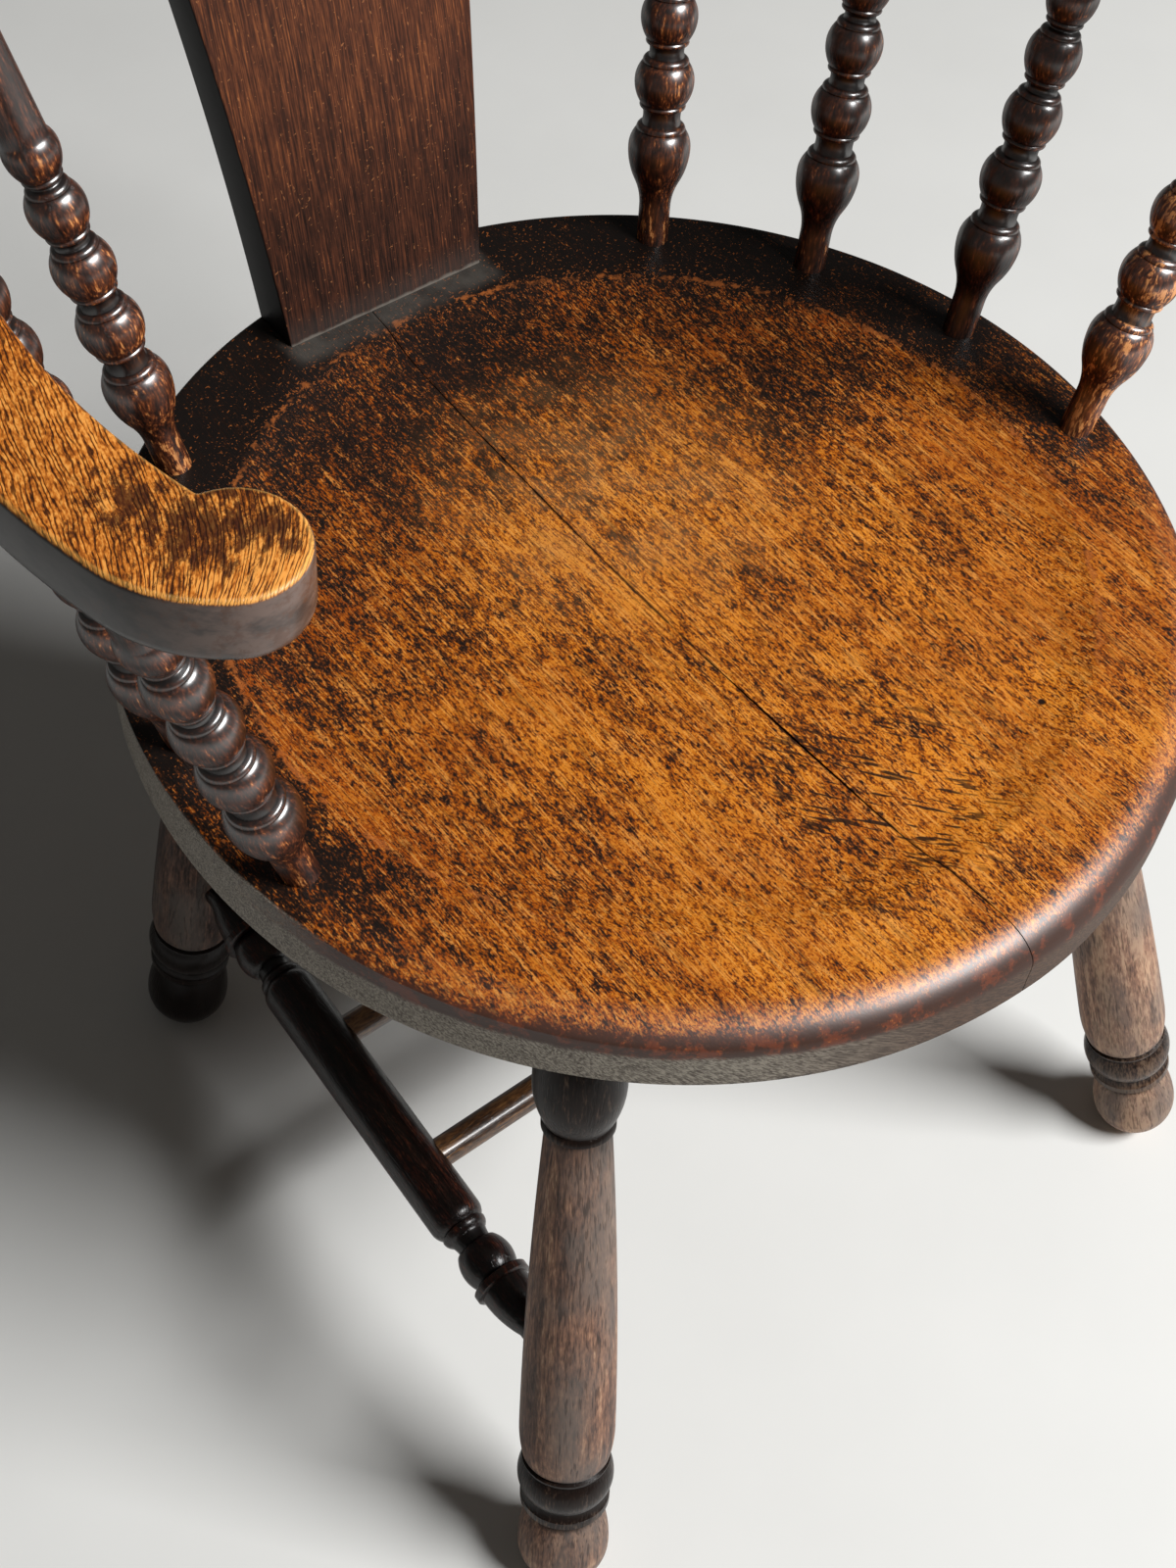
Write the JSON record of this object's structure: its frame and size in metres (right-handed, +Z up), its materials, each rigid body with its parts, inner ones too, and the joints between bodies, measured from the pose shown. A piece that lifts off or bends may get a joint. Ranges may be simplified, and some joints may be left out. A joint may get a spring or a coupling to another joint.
{
  "type": "bobbin armchair",
  "caption": "Low round-seated wooden armchair with turned bobbin spindles, a flat back splat, a bow-shaped arm rail with a raised crest, and splayed turned legs.",
  "frame": {"origin": "on the floor, at the bottom centre of the box that the chair fills", "axes": "+Z up, the sitter faces -Y, and the sitter's left is +X"},
  "size_m": [0.654, 0.591, 0.737],
  "materials": {
    "seat_wood": "oak, worn golden brown in the middle and dark at the rim, satin",
    "splat_wood": "red-brown stained oak, satin",
    "spindle_wood": "dark brown stain under gloss varnish, worn to orange on the edges",
    "arm_wood": "oak, top worn to golden brown, sides dark brown",
    "leg_wood": "dark grey-brown stain, matt with darker grooves",
    "stretcher_wood": "near-black stain under gloss varnish",
    "peg_wood": "bare hardwood, hidden in the joints",
    "screw_steel": "dull old steel"
  },
  "bodies": {
    "root": {"seat_board_left": "seat_wood", "seat_board_right": "seat_wood", "seat_dowels": "peg_wood", "back_splat": "splat_wood", "spindle_left_1": "spindle_wood", "spindle_left_2": "spindle_wood", "spindle_left_3": "spindle_wood", "spindle_left_4": "spindle_wood", "spindle_right_1": "spindle_wood", "spindle_right_2": "spindle_wood", "spindle_right_3": "spindle_wood", "spindle_right_4": "spindle_wood", "arm_left": "arm_wood", "arm_right": "arm_wood", "bow_dowels": "peg_wood", "crest_rail": "arm_wood", "crest_screws": "screw_steel", "leg_front_left": "leg_wood", "leg_front_right": "leg_wood", "leg_back_left": "leg_wood", "leg_back_right": "leg_wood", "side_stretcher_left": "stretcher_wood", "side_stretcher_right": "stretcher_wood", "cross_stretcher_front": "stretcher_wood", "cross_stretcher_back": "stretcher_wood"}
  },
  "joints": []
}
